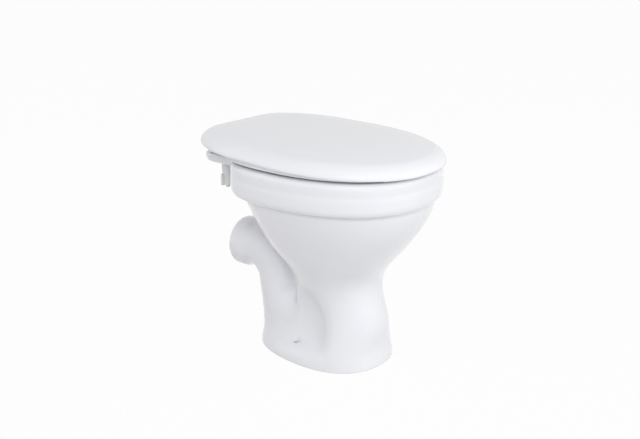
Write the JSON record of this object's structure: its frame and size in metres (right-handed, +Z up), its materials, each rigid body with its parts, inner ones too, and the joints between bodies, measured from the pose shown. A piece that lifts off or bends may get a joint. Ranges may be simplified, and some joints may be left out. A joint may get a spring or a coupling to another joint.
{
  "type": "toilet",
  "caption": "Floor-standing wash-down toilet: egg-shaped bowl on a waisted column, rear outlet pipe from a curved trap, hinged seat ring and shallow lid.",
  "frame": {"origin": "on the floor, midway between the two floor-fixing holes in the foot", "axes": "+Z up; the bowl's front faces -Y and the outlet and flush inlet face +Y; +X is the left side seen by someone who sits on it"},
  "size_m": [0.3562, 0.466, 0.4376],
  "materials": {
    "china": "glossy white glaze",
    "seat_plastic": "glossy white moulding",
    "hinge_plastic": "glossy white moulding",
    "pin_steel": "plain stainless steel",
    "nylon": "natural nylon, satin",
    "soft_plastic": "soft white plastic, matt",
    "rubber": "black rubber, matt"
  },
  "bodies": {
    "pan": {"pan": "china", "left_hinge_post": "hinge_plastic", "right_hinge_post": "hinge_plastic", "left_hinge_cap": "hinge_plastic", "right_hinge_cap": "hinge_plastic", "left_hinge_pin": "pin_steel", "right_hinge_pin": "pin_steel", "pin_clips": "pin_steel", "hinge_bolts": "pin_steel", "hinge_post_pads": "soft_plastic", "sealing_washers": "rubber", "flat_washers": "nylon", "wing_nuts": "nylon"},
    "seat": {"seat_ring": "seat_plastic", "seat_lug_bushes": "nylon", "front_seat_buffers": "soft_plastic", "rear_seat_buffers": "soft_plastic"},
    "lid": {"lid": "seat_plastic", "lid_lug_bushes": "nylon", "front_lid_buffers": "soft_plastic", "rear_lid_buffers": "soft_plastic"}
  },
  "joints": [
    {"name": "seat_hinge", "type": "hinge", "parent": "pan", "child": "seat", "pos_m": [0, 0.206, 0.414], "axis": [-1, 0, 0], "range_deg": [0, 95]},
    {"name": "lid_hinge", "type": "hinge", "parent": "seat", "child": "lid", "pos_m": [0, 0.206, 0.414], "axis": [-1, 0, 0], "range_deg": [0, 100]}
  ]
}
